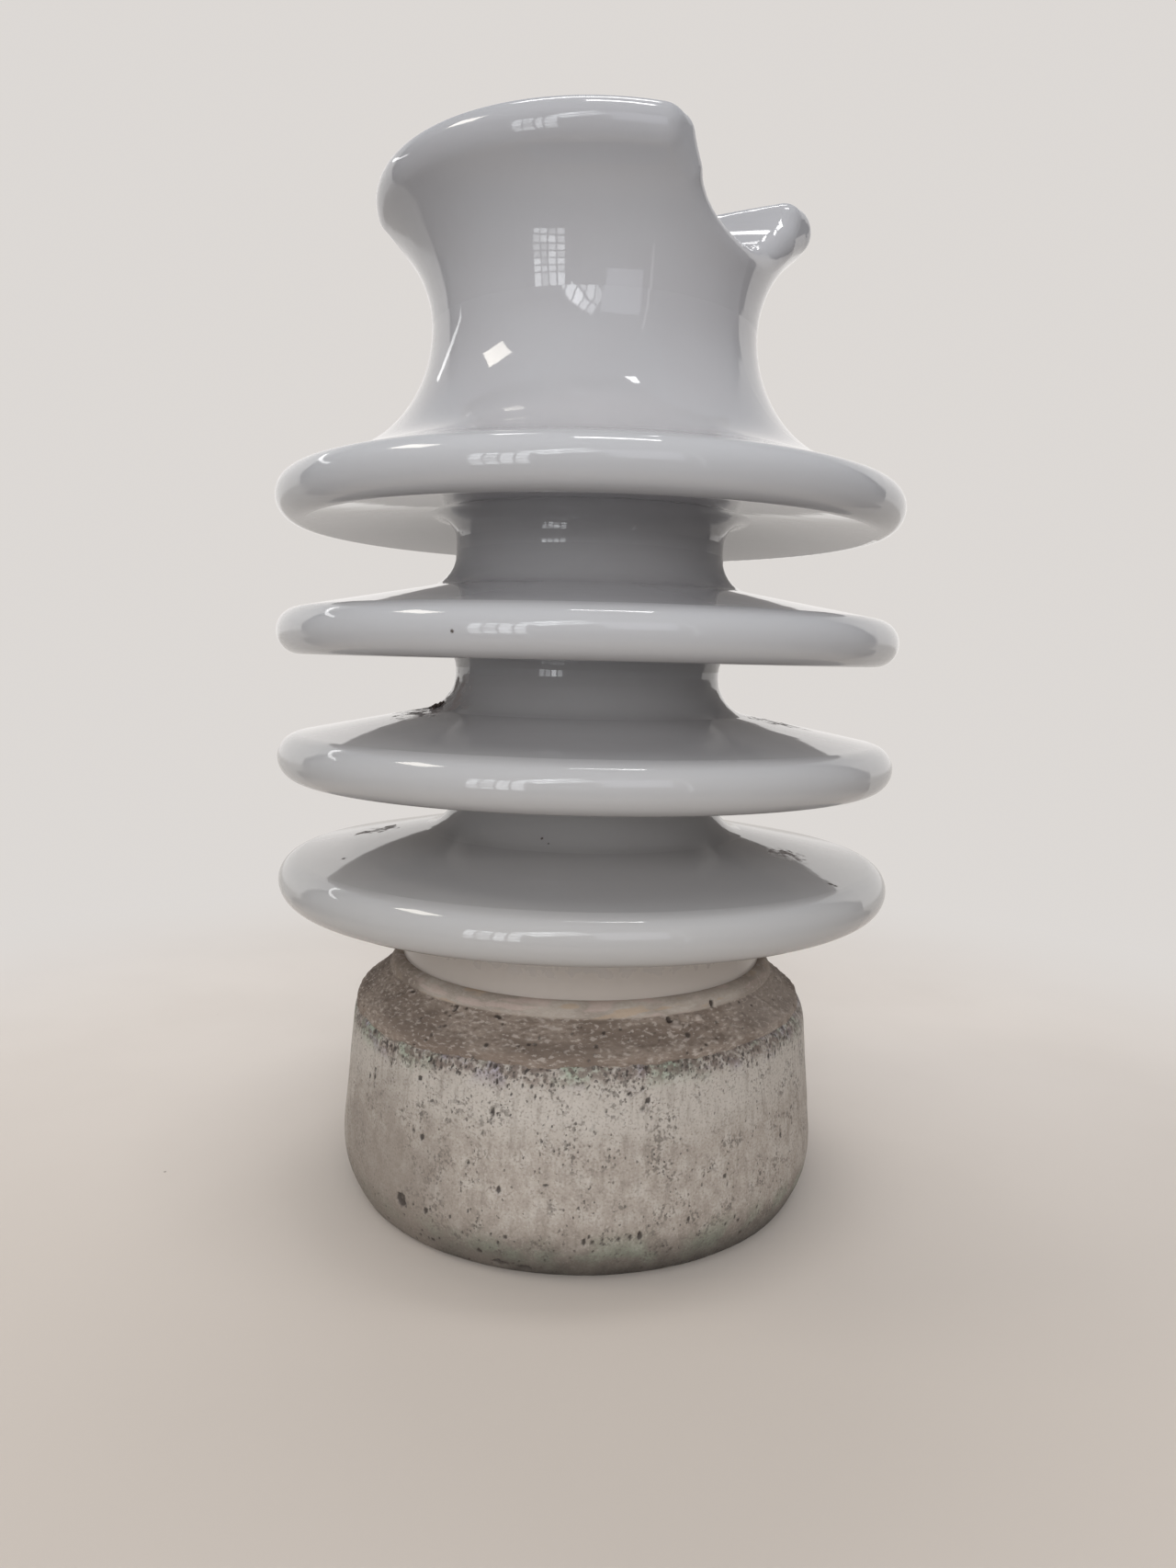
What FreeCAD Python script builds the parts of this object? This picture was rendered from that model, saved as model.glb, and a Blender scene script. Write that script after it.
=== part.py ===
import FreeCAD, Part
import math
import os
import Sketcher

# Porcelain line post insulator.
# One fired porcelain body has its sanded lower end cemented into a cast iron cup.
# The cup is galvanised, and tapped in its underside for the stud that holds it to a crossarm.
# A conductor lies in the saddle groove across the head, or is tied against the neck.
# Origin: centre of the cup's underside. +Z is the axis, and +X runs along the saddle groove.

# Driving sizes, in millimetres and degrees, from the cup's foot up to the crest.
SIZES = {
    # Lower end of the porcelain
    "collar_radius": 43.0,
    "glaze_step": 1.2,
    "glaze_edge_depth": 1.5,
    "sand_band_thickness": 1.2,
    "sand_band_gap": 3.5,
    "end_chamfer": 2.5,
    # Cement round it, and the cushion under it
    "cement_gap": 4.6,
    "cement_turn": 57.0,
    "cement_rise": 5.9,
    "cement_bead": 3.0,
    "cushion_thickness": 2.5,
    "cushion_inset": 0.3,
    # Cast cup
    "cup_wall": 9.4,
    "cup_floor": 22.0,
    "cup_foot_setback": 4.0,
    "cup_foot_curve": 21.4,
    "cup_foot_edge": 1.5,
    "cup_draft": 5.0,
    "cup_shoulder_height": 39.9,
    "cup_shoulder_radius": 9.3,
    "cup_shoulder_turn": 38.0,
    "cup_throat_depth": 2.0,
    "cavity_chamfer": 2.0,
    "key_groove_count": 3,
    "key_groove_depth": 2.2,
    "key_groove_width": 4.4,
    # Tapped hole for the stud
    "stud_bore_radius": 8.38,
    "stud_mouth_chamfer": 1.4,
    "metal_above_stud": 3.0,
    # Sheds and shank
    "shank_radius": 31.3,
    "shed_radius": 71.5,
    "shed_rim_radius": 5.25,
    "shed_slope": 11.0,
    "shed_under_slope": 6.9,
    "shed_count": 4,
    "shed_pitch": 27.9,
    "collar_rise": 22.27,
    "top_shed_pitch": 29.3,
    "top_shed_slope": 16.3,
    "top_shed_land": 6.35,
    "root_radius_above": 8.6,
    "root_radius_below": 5.5,
    # Neck and head
    "neck_radius": 37.2,
    "head_overhang": 12.5,
    "head_rise": 30.95,
    "head_rim_radius": 5.2,
    # Flat ends of the head, and the saddle groove from one to the other
    "end_face_overhang": 2.0,
    "end_edge_radius": 4.7,
    "groove_radius": 20.2,
    "groove_depth": 13.0,
    "groove_flare_radius": 212.0,
    "groove_edge_radius": 4.2,
}

# Shares of the room that a rounding may take, so that two of them never meet
ROOT_SHARE_ABOVE = 0.6
ROOT_SHARE_BELOW = 0.38
EDGE_SHARE = 0.92

SHEET = "Sizes"


class Size:
    """A number that also carries the sheet formula it comes from."""

    def __init__(self, value, formula):
        self.value = float(value)
        self.formula = formula

    def joined(self, sign, other, value):
        return Size(value, "(%s %s %s)" % (self.formula, sign, other.formula))

    def __add__(self, other):
        other = as_size(other)
        return self.joined("+", other, self.value + other.value)

    def __sub__(self, other):
        other = as_size(other)
        return self.joined("-", other, self.value - other.value)

    def __mul__(self, other):
        other = as_size(other)
        return self.joined("*", other, self.value * other.value)

    def __truediv__(self, other):
        other = as_size(other)
        return self.joined("/", other, self.value / other.value)


def as_size(number):
    if isinstance(number, Size):
        return number
    return Size(number, repr(float(number)))


def size(alias):
    return Size(SIZES[alias], "%s.%s" % (SHEET, alias))


def sine(angle):
    return Size(math.sin(math.radians(angle.value)), "sin(%s)" % angle.formula)


def cosine(angle):
    return Size(math.cos(math.radians(angle.value)), "cos(%s)" % angle.formula)


def tangent(angle):
    return Size(math.tan(math.radians(angle.value)), "tan(%s)" % angle.formula)


def square_root(number):
    return Size(math.sqrt(number.value), "sqrt(%s)" % number.formula)


def smaller(one, other):
    return Size(min(one.value, other.value), "min(%s; %s)" % (one.formula, other.formula))


ZERO = as_size(0.0)


class Corner:
    """A named corner of an outline, with the edge that leaves it.

    The edge is straight, or an arc of the given radius about the given centre.
    """

    def __init__(self, name, across, up, radius=None, centre=None):
        self.name = name
        self.across = as_size(across)
        self.up = as_size(up)
        self.radius = radius
        self.centre = centre

    def point(self):
        return FreeCAD.Vector(self.across.value, self.up.value, 0)


doc = FreeCAD.newDocument("line_post_insulator")
sheet = doc.addObject("Spreadsheet::Sheet", SHEET)
for row, (alias, number) in enumerate(SIZES.items(), start=1):
    sheet.set("A%d" % row, alias)
    sheet.set("B%d" % row, str(number))
    sheet.setAlias("B%d" % row, alias)
doc.recompute()


# Sketches and features

def add_body(label):
    body = doc.addObject("PartDesign::Body", label)
    body.Label = label
    return body


def add_sketch(body, name):
    """A sketch on the body's own X-Z plane, so that its X is the radius and its Y the height."""
    sketch = body.newObject("Sketcher::SketchObject", name)
    plane = [item for item in body.Origin.OriginFeatures if item.Role == "XZ_Plane"][0]
    sketch.AttachmentSupport = [(plane, "")]
    sketch.MapMode = "FlatFace"
    return sketch


def bind(sketch, kind, index, end, name, number):
    """Add a dimension to the sketch and tie it to the sheet."""
    if end is None:
        constraint = Sketcher.Constraint(kind, index, number.value)
    else:
        constraint = Sketcher.Constraint(kind, index, end, number.value)
    sketch.renameConstraint(sketch.addConstraint(constraint), name)
    sketch.setExpression("Constraints." + name, number.formula)


def add_edge(sketch, corner, following):
    """Draw the edge between two corners and give its index and its two end numbers."""
    start, stop = corner.point(), following.point()
    if corner.centre is None:
        return sketch.addGeometry(Part.LineSegment(start, stop), False), 1, 2
    centre = FreeCAD.Vector(corner.centre[0].value, corner.centre[1].value, 0)
    out = start + stop - centre * 2
    middle = centre + out * (corner.radius.value / out.Length)
    if (start - centre).cross(stop - centre).z > 0:
        return sketch.addGeometry(Part.Arc(start, middle, stop), False), 1, 2
    return sketch.addGeometry(Part.Arc(stop, middle, start), False), 2, 1


def draw_outline(sketch, corners):
    """Draw a closed outline and place each corner and arc by formulas on the sheet."""
    edges = [add_edge(sketch, a, b) for a, b in zip(corners, corners[1:] + corners[:1])]
    for (index, _, tail), (following, head, _) in zip(edges, edges[1:] + edges[:1]):
        sketch.addConstraint(Sketcher.Constraint("Coincident", index, tail, following, head))
    for corner, (index, head, _) in zip(corners, edges):
        if corner.across.value == 0:
            sketch.addConstraint(Sketcher.Constraint("PointOnObject", index, head, -2))
        else:
            bind(sketch, "DistanceX", index, head, corner.name + "_across", corner.across)
        if corner.up.value == 0:
            sketch.addConstraint(Sketcher.Constraint("PointOnObject", index, head, -1))
        else:
            bind(sketch, "DistanceY", index, head, corner.name + "_up", corner.up)
        if corner.centre is not None:
            bind(sketch, "Radius", index, None, corner.name + "_radius", corner.radius)


def add_turned(body, kind, name, sketch, axis):
    """Turn a sketch about one of its own axes, to add a solid or to cut one away."""
    turned = body.newObject(kind, name)
    turned.Profile = sketch
    turned.ReferenceAxis = (sketch, [axis])
    turned.Angle = 360.0
    body.Tip = turned
    doc.recompute()
    return turned


def revolve(body, name, corners):
    sketch = add_sketch(body, name + "_outline")
    draw_outline(sketch, corners)
    return add_turned(body, "PartDesign::Revolution", name, sketch, "V_Axis")


def round_edges(body, name, edges, radius):
    base = body.Tip
    fillet = body.newObject("PartDesign::Fillet", name)
    fillet.Base = (base, edges)
    fillet.Radius = radius.value
    fillet.setExpression("Radius", radius.formula)
    body.Tip = fillet
    doc.recompute()


def circles_at(shape, radius, height):
    """Names of the circular edges that have this radius at this height."""
    names = []
    for number, edge in enumerate(shape.Edges, start=1):
        if not isinstance(edge.Curve, Part.Circle):
            continue
        miss = max(abs(edge.Curve.Radius - radius.value), abs(edge.Curve.Center.z - height.value))
        if miss < 0.001:
            names.append("Edge%d" % number)
    return names


# Cup: its foot curves out to the widest point, its side leans in by the draft,
# and a round shoulder ends at the rim. The cement carries the shoulder's curve on.
collar = size("collar_radius")
cavity = collar + size("cement_gap")
cup_radius = cavity + size("cup_wall")
cup_floor = size("cup_floor")
draft = size("cup_draft")
foot_curve = size("cup_foot_curve")
foot_setback = size("cup_foot_setback")
foot_radius = cup_radius - foot_setback
widest_height = square_root((foot_curve * 2 - foot_setback) * foot_setback)
side_low_r = cup_radius - foot_curve + foot_curve * cosine(draft)
side_low_z = widest_height + foot_curve * sine(draft)
shoulder = size("cup_shoulder_radius")
shoulder_height = size("cup_shoulder_height")
side_high_z = shoulder_height + shoulder * sine(draft)
side_high_r = side_low_r - (side_high_z - side_low_z) * tangent(draft)
shoulder_centre_r = side_high_r - shoulder * cosine(draft)
rim_r = shoulder_centre_r + shoulder * cosine(size("cup_shoulder_turn"))
rim_z = shoulder_height + shoulder * sine(size("cup_shoulder_turn"))
throat_z = rim_z - size("cup_throat_depth")
cement_shoulder_r = shoulder_centre_r + shoulder * cosine(size("cement_turn"))
cement_shoulder_z = shoulder_height + shoulder * sine(size("cement_turn"))

# Porcelain's lower end: a glazed collar, then an unglazed grip with a band of coarse sand
end_height = cup_floor + size("cushion_thickness")
cement_top = rim_z + size("cement_rise")
grip = collar - size("glaze_step")
sand = grip + size("sand_band_thickness")
glaze_edge = cement_top - size("glaze_edge_depth")
sand_top = glaze_edge - size("sand_band_gap")
sand_bottom = end_height + size("end_chamfer") + size("sand_band_gap")
end_edge_r = grip - size("end_chamfer")
cushion_radius = end_edge_r - size("cushion_inset")


def cavity_corners():
    """The cup's inside from its floor up to its rim, with grooves that key the cement."""
    depth = size("key_groove_depth")
    half_width = size("key_groove_width") / 2
    low = cup_floor + size("cavity_chamfer")
    spacing = (throat_z - low) / size("key_groove_count")
    corners = [
        Corner("floor_edge", cavity - size("cavity_chamfer"), cup_floor),
        Corner("floor_side", cavity, low),
    ]
    for number in range(SIZES["key_groove_count"]):
        middle = low + spacing * (number + 0.5)
        corners += [
            Corner("key_%d_low" % number, cavity, middle - half_width),
            Corner("key_%d_deep_low" % number, cavity + depth, middle - half_width / 2),
            Corner("key_%d_deep_high" % number, cavity + depth, middle + half_width / 2),
            Corner("key_%d_high" % number, cavity, middle + half_width),
        ]
    corners += [
        Corner("throat", cavity, throat_z),
    ]
    return corners


def grip_corners():
    """The porcelain's held end, from its end face up to the edge of the glaze."""
    return [
        Corner("end_edge", end_edge_r, end_height),
        Corner("end_side", grip, end_height + size("end_chamfer")),
        Corner("sand_low_in", grip, sand_bottom),
        Corner("sand_low_out", sand, sand_bottom + size("sand_band_thickness")),
        Corner("sand_high_out", sand, sand_top - size("sand_band_thickness")),
        Corner("sand_high_in", grip, sand_top),
        Corner("glaze_in", grip, glaze_edge),
        Corner("glaze_out", collar, glaze_edge),
    ]


def build_cup():
    body = add_body("base_cap")
    bore = size("stud_bore_radius")
    bore_top = cup_floor - size("metal_above_stud")
    mouth = size("stud_mouth_chamfer")
    corners = [
        Corner("bore_centre", ZERO, bore_top),
        Corner("bore_end", bore, bore_top),
        Corner("bore_mouth", bore, mouth),
        Corner("underside_in", bore + mouth, ZERO),
        Corner("foot", foot_radius, ZERO, foot_curve, (cup_radius - foot_curve, widest_height)),
        Corner("side_low", side_low_r, side_low_z),
        Corner("side_high", side_high_r, side_high_z, shoulder,
               (shoulder_centre_r, shoulder_height)),
    ]
    corners.append(Corner("rim", rim_r, rim_z))
    corners += cavity_corners()[::-1]
    corners.append(Corner("floor_centre", ZERO, cup_floor))
    cast = revolve(body, "casting", corners)
    foot = circles_at(cast.Shape, foot_radius, ZERO)
    round_edges(body, "foot_edge", foot, size("cup_foot_edge"))
    return body


def build_cement():
    """Cement fills the cup round the grip, slopes up from the rim and ends in a bead."""
    body = add_body("cement_joint")
    bead = size("cement_bead")
    corners = [Corner("cushion_low", cushion_radius, cup_floor)]
    corners += cavity_corners()
    corners += [
        Corner("rim", rim_r, rim_z, shoulder, (shoulder_centre_r, shoulder_height)),
        Corner("slope_foot", cement_shoulder_r, cement_shoulder_z),
        Corner("bead_foot", collar + bead, cement_top, bead, (collar, cement_top)),
        Corner("bead_top", collar, cement_top + bead),
    ]
    corners += grip_corners()[::-1]
    corners.append(Corner("cushion_high", cushion_radius, end_height))
    revolve(body, "fill", corners)
    return body


def build_cushion():
    """A resilient disc keeps the porcelain's end face off the cup's floor."""
    cushion = doc.addObject("Part::Cylinder", "end_cushion")
    cushion.Label = "end_cushion"
    cushion.setExpression("Radius", cushion_radius.formula)
    cushion.setExpression("Height", size("cushion_thickness").formula)
    cushion.setExpression("Placement.Base.z", cup_floor.formula)
    doc.recompute()
    return cushion


# Sheds: a sloping upper face and a flatter underside, both tangent to a round rim
shank = size("shank_radius")
shed_rim = size("shed_rim_radius")
rim_centre_r = size("shed_radius") - shed_rim
under_slope = size("shed_under_slope")
lowest_shed = cement_top + size("collar_rise")
lower_sheds = [lowest_shed + size("shed_pitch") * n for n in range(SIZES["shed_count"] - 1)]
top_shed = lower_sheds[-1] + size("top_shed_pitch")


def rim_top(shed, slope):
    return rim_centre_r + shed_rim * sine(slope), shed + shed_rim * cosine(slope)


def rim_bottom(shed):
    return rim_centre_r - shed_rim * sine(under_slope), shed - shed_rim * cosine(under_slope)


def height_above(shed, slope, radius):
    """Height of a shed's upper face at a radius."""
    top_r, top_z = rim_top(shed, slope)
    return top_z + (top_r - radius) * tangent(slope)


def height_below(shed, radius):
    """Height of a shed's underside at a radius."""
    low_r, low_z = rim_bottom(shed)
    return low_z + (low_r - radius) * tangent(under_slope)


# Neck: one arc rises off the top shed to the waist, and another flares out to the head's rim
neck = size("neck_radius")
head_radius = neck + size("head_overhang")
head_rim = size("head_rim_radius")
top_slope = size("top_shed_slope")
top_rim_r, top_rim_z = rim_top(top_shed, top_slope)
neck_foot_r = top_rim_r - size("top_shed_land")
neck_foot_z = height_above(top_shed, top_slope, neck_foot_r)
foot_arc = (neck_foot_r - neck) / (as_size(1.0) - sine(top_slope))
waist = neck_foot_z + foot_arc * cosine(top_slope)
crest = waist + size("head_rise")

# The flare touches the rim's circle, so the gap between their centres is the sum of both radii.
centre_rise = size("head_rise") - head_rim
overhang = size("head_overhang")
centre_gap = (overhang * overhang + centre_rise * centre_rise) / (overhang * 2)
flare_arc = centre_gap - head_rim
flare_share = flare_arc / centre_gap
flare_end_r = neck + flare_arc - flare_share * (centre_gap - overhang)
flare_end_z = waist + flare_share * centre_rise


def build_post(body):
    """The shank with its collar, top shed, neck and head, turned in one piece."""
    low_r, low_z = rim_bottom(top_shed)
    corners = [Corner("end_centre", ZERO, end_height)]
    corners += grip_corners()
    corners += [
        Corner("collar_top", collar, lowest_shed),
        Corner("shank_foot", shank, lowest_shed),
        Corner("top_root", shank, height_below(top_shed, shank)),
        Corner("rim_low", low_r, low_z, shed_rim, (rim_centre_r, top_shed)),
        Corner("rim_high", top_rim_r, top_rim_z),
        Corner("neck_foot", neck_foot_r, neck_foot_z, foot_arc, (neck + foot_arc, waist)),
        Corner("waist", neck, waist, flare_arc, (neck + flare_arc, waist)),
        Corner("flare_end", flare_end_r, flare_end_z, head_rim,
               (head_radius - head_rim, crest - head_rim)),
        Corner("crest", head_radius - head_rim, crest),
        Corner("crest_centre", ZERO, crest),
    ]
    revolve(body, "post", corners)


def build_lower_sheds(body):
    slope = size("shed_slope")
    for number, shed in enumerate(lower_sheds, start=1):
        high_r, high_z = rim_top(shed, slope)
        low_r, low_z = rim_bottom(shed)
        revolve(body, "shed_%d" % number, [
            Corner("axis_low", ZERO, height_below(shed, shank)),
            Corner("root_low", shank, height_below(shed, shank)),
            Corner("rim_low", low_r, low_z, shed_rim, (rim_centre_r, shed)),
            Corner("rim_high", high_r, high_z),
            Corner("root_high", shank, height_above(shed, slope, shank)),
            Corner("axis_high", ZERO, height_above(shed, slope, shank)),
        ])


def round_roots(body):
    """Round each shed into the shank, as far as the shank between two sheds has room."""
    sheds = lower_sheds + [top_shed]
    rooms = [height_below(upper, shank) - height_above(lower, size("shed_slope"), shank)
             for lower, upper in zip(sheds, sheds[1:])]
    room = rooms[0]
    for other in rooms[1:]:
        room = smaller(room, other)
    above = smaller(size("root_radius_above"), room * ROOT_SHARE_ABOVE)
    below = smaller(size("root_radius_below"), room * ROOT_SHARE_BELOW)
    names = []
    for shed in lower_sheds:
        names += circles_at(body.Shape, shank, height_above(shed, size("shed_slope"), shank))
    round_edges(body, "roots_above", names, above)
    names = circles_at(body.Shape, collar, height_below(lowest_shed, collar))
    for shed in sheds[1:]:
        names += circles_at(body.Shape, shank, height_below(shed, shank))
    round_edges(body, "roots_below", names, below)


# Head: flat ends stand a little out from the neck, and the saddle groove runs from one to the
# other. Its radius grows from the middle to both mouths on one long curve, so that its floor
# is high in the middle and a conductor never bends over an edge.
end_face = neck + size("end_face_overhang")
beyond_head = head_radius + head_rim
above_crest = crest + head_rim
groove = size("groove_radius")
groove_floor = crest - size("groove_depth")
groove_axis = groove_floor + groove
flare = size("groove_flare_radius")
groove_end = groove + flare - square_root(flare * flare - beyond_head * beyond_head)

# A rounding that runs over another has the smaller radius of the two.
end_edge = smaller(size("end_edge_radius"), head_rim * EDGE_SHARE)
groove_edge = smaller(size("groove_edge_radius"), end_edge * EDGE_SHARE)


def lies_on_end(face):
    """Whether a face is one of the head's two flat ends."""
    box = face.BoundBox
    return max(abs(abs(x) - end_face.value) for x in (box.XMin, box.XMax)) < 0.001


def lies_in_groove(face):
    """Whether a face is part of the groove's surface, from points spread over it."""
    u_low, u_high, v_low, v_high = face.ParameterRange
    steps = [n / 8 for n in range(1, 8)]
    grid = [(u_low + (u_high - u_low) * a, v_low + (v_high - v_low) * b) for a in steps for b in steps]
    points = [face.valueAt(u, v) for u, v in grid if face.isPartOfDomain(u, v)]
    misses = []
    for p in points:
        radius = groove.value + flare.value - math.sqrt(flare.value ** 2 - p.x ** 2)
        misses.append(abs(math.hypot(p.y, p.z - groove_axis.value) - radius))
    return bool(misses) and max(misses) < 0.01


def border_of(shape, belongs):
    """Names of the edges where the faces that pass a test meet those that don't."""
    inside = []
    outside = []
    for face in shape.Faces:
        owner = inside if belongs(face) else outside
        owner += [edge.hashCode() for edge in face.Edges]
    names = []
    for number, edge in enumerate(shape.Edges, start=1):
        code = edge.hashCode()
        if code in inside and code in outside:
            names.append("Edge%d" % number)
    return names


def check_cut(body, volume, what):
    if not body.Shape.Volume < volume:
        raise RuntimeError("%s cuts nothing" % what)


def cut_ends(body):
    """Flatten both ends of the head, from the waist up, and round their borders."""
    sketch = add_sketch(body, "ends_outline")
    for side, inner, outer in (("right", end_face, beyond_head),
                               ("left", ZERO - end_face, ZERO - beyond_head)):
        draw_outline(sketch, [
            Corner(side + "_low_in", inner, waist),
            Corner(side + "_low_out", outer, waist),
            Corner(side + "_high_out", outer, above_crest),
            Corner(side + "_high_in", inner, above_crest),
        ])
    volume = body.Shape.Volume
    pocket = body.newObject("PartDesign::Pocket", "end_faces")
    pocket.Profile = sketch
    pocket.Type = "ThroughAll"
    pocket.SideType = "Symmetric"
    body.Tip = pocket
    doc.recompute()
    check_cut(body, volume, "flattening the head's ends")
    round_edges(body, "end_edges", border_of(body.Shape, lies_on_end), end_edge)


def cut_saddle(body):
    """Turn the groove about its own axis along X. Its outline lies above that axis."""
    sketch = add_sketch(body, "saddle_outline")
    draw_outline(sketch, [
        Corner("left_axis", ZERO - beyond_head, groove_axis),
        Corner("right_axis", beyond_head, groove_axis),
        Corner("right_end", beyond_head, groove_axis + groove_end, flare,
               (ZERO, groove_axis + groove + flare)),
        Corner("left_end", ZERO - beyond_head, groove_axis + groove_end),
    ])
    ends = [FreeCAD.Vector(x.value, groove_axis.value, 0) for x in (ZERO - beyond_head, beyond_head)]
    axis = sketch.addGeometry(Part.LineSegment(*ends), True)
    sketch.addConstraint(Sketcher.Constraint("Horizontal", axis))
    bind(sketch, "DistanceY", axis, 1, "groove_axis", groove_axis)
    volume = body.Shape.Volume
    add_turned(body, "PartDesign::Groove", "saddle_groove", sketch, "Axis0")
    check_cut(body, volume, "the saddle groove")
    round_edges(body, "saddle_edges", border_of(body.Shape, lies_in_groove), groove_edge)


def build_porcelain():
    body = add_body("porcelain_body")
    build_post(body)
    build_lower_sheds(body)
    round_roots(body)
    cut_ends(body)
    cut_saddle(body)
    return body


parts = [build_porcelain(), build_cement(), build_cushion(), build_cup()]
doc.recompute()

for item in doc.Objects:
    if "Invalid" in item.State or "Error" in item.State:
        raise RuntimeError("%s did not build" % item.Name)
for part in parts:
    if part.Shape.isNull() or not part.Shape.isValid() or len(part.Shape.Solids) != 1:
        raise RuntimeError("%s is not one sound solid" % part.Label)

os.makedirs("parts", exist_ok=True)
for part in parts:
    part.Shape.exportStep("parts/%s.step" % part.Label)
    print("%-15s %9.1f mm3" % (part.Label, part.Shape.Volume))
print("rim %.2f mm, cement top %.2f mm, end face %.2f mm" % (rim_z.value, cement_top.value, end_height.value))
print("waist %.2f mm, groove floor %.2f mm, crest %.2f mm" % (waist.value, groove_floor.value, crest.value))
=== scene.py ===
# %% [markdown]
# # A porcelain line post insulator
#
# A line post insulator carries one overhead wire. It is a post of glazed porcelain with round
# sheds that keep rain from running down it, and it stands in a galvanised iron cup, held by
# cement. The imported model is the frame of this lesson: its four nodes are already at their real
# size and place. The lesson gives each of them its finish, and works the rough pieces again as
# dense surfaces, because cast iron and trowelled cement are never as smooth as a lathe's outline.

# %% Load the frame
import math
import bmesh
import bpy
import numpy as np
from mathutils import Matrix, Vector


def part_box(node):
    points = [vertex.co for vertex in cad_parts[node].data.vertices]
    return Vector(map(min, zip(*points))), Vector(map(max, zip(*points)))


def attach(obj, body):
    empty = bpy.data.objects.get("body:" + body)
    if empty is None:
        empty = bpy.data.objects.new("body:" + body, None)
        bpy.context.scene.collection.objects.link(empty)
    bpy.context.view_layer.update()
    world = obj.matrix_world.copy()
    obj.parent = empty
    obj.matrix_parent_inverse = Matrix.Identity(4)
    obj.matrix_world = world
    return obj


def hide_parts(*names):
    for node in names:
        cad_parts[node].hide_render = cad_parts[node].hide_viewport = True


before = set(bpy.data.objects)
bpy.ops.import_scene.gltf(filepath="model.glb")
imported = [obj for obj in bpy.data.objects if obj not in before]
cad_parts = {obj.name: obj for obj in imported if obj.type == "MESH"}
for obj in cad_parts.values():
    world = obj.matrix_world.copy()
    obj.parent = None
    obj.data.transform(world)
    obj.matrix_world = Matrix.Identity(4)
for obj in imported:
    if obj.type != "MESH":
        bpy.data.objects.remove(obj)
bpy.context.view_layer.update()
MM = 0.001
for name in sorted(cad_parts):
    low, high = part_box(name)
    print("%-14s stands %.1f mm high and %.1f mm wide" % (name, (high.z - low.z) / MM, (high.x - low.x) / MM))

# %% [markdown]
# ## The camera
#
# The picture was taken from close by, a little above the sheds, so the sheds below show their
# upper faces and the cup looks large. Distance, height and tilt matter more than the lens for
# that look. The saddle groove runs along X, and the camera stands to one side of it, so that the
# near ear of the head hides most of the groove.

# %% Place the camera
CAMERA_DISTANCE = 258.66 * MM
CAMERA_HEIGHT = 124.10 * MM
CAMERA_SIDE = math.radians(35.5)
CAMERA_DOWN = math.radians(6.458)
CAMERA_YAW = math.radians(0.1875)
CAMERA_ROLL = math.radians(1.338)
SENSOR = 36.0
LENS = 24.674


def camera_axes():
    """Right, up and backward directions of the camera, level at first, then tilted, then rolled."""
    heading = CAMERA_YAW - CAMERA_SIDE
    forward = Vector((math.sin(heading) * math.cos(CAMERA_DOWN),
                      math.cos(heading) * math.cos(CAMERA_DOWN), -math.sin(CAMERA_DOWN)))
    right = Vector((math.cos(heading), -math.sin(heading), 0))
    up = right.cross(forward)
    rolled_right = math.cos(CAMERA_ROLL) * right + math.sin(CAMERA_ROLL) * up
    rolled_up = math.cos(CAMERA_ROLL) * up - math.sin(CAMERA_ROLL) * right
    return rolled_right, rolled_up, -forward


towards_camera = Vector((math.sin(CAMERA_SIDE), -math.cos(CAMERA_SIDE), 0))
to_the_right = Vector((math.cos(CAMERA_SIDE), math.sin(CAMERA_SIDE), 0))


def level(bearing):
    """The level direction at a bearing in degrees: 0 towards the camera, 90 to its right."""
    angle = math.radians(bearing)
    return towards_camera * math.cos(angle) + to_the_right * math.sin(angle)


camera = bpy.data.objects.new("camera", bpy.data.cameras.new("camera"))
camera.data.sensor_width = SENSOR
camera.data.lens = LENS
camera.data.clip_start = 10 * MM
camera.matrix_world = Matrix(camera_axes()).transposed().to_4x4()
camera.location = CAMERA_DISTANCE * towards_camera + Vector((0, 0, CAMERA_HEIGHT))
bpy.context.scene.collection.objects.link(camera)
bpy.context.scene.camera = camera
bpy.context.scene.view_settings.view_transform = "Standard"
print("camera at", [round(v / MM) for v in camera.location], "mm")

# %% [markdown]
# ## A recipe for materials
#
# A material is a tree of small nodes, and writing one out link by link hides its idea. The
# recipe below adds one node at a time and hands back its output, so a finish reads like a
# sentence: noise, then a ramp, then a mix. Every pattern reads Object coordinates in
# millimetres, so its scale can be compared with the real grain.


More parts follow.
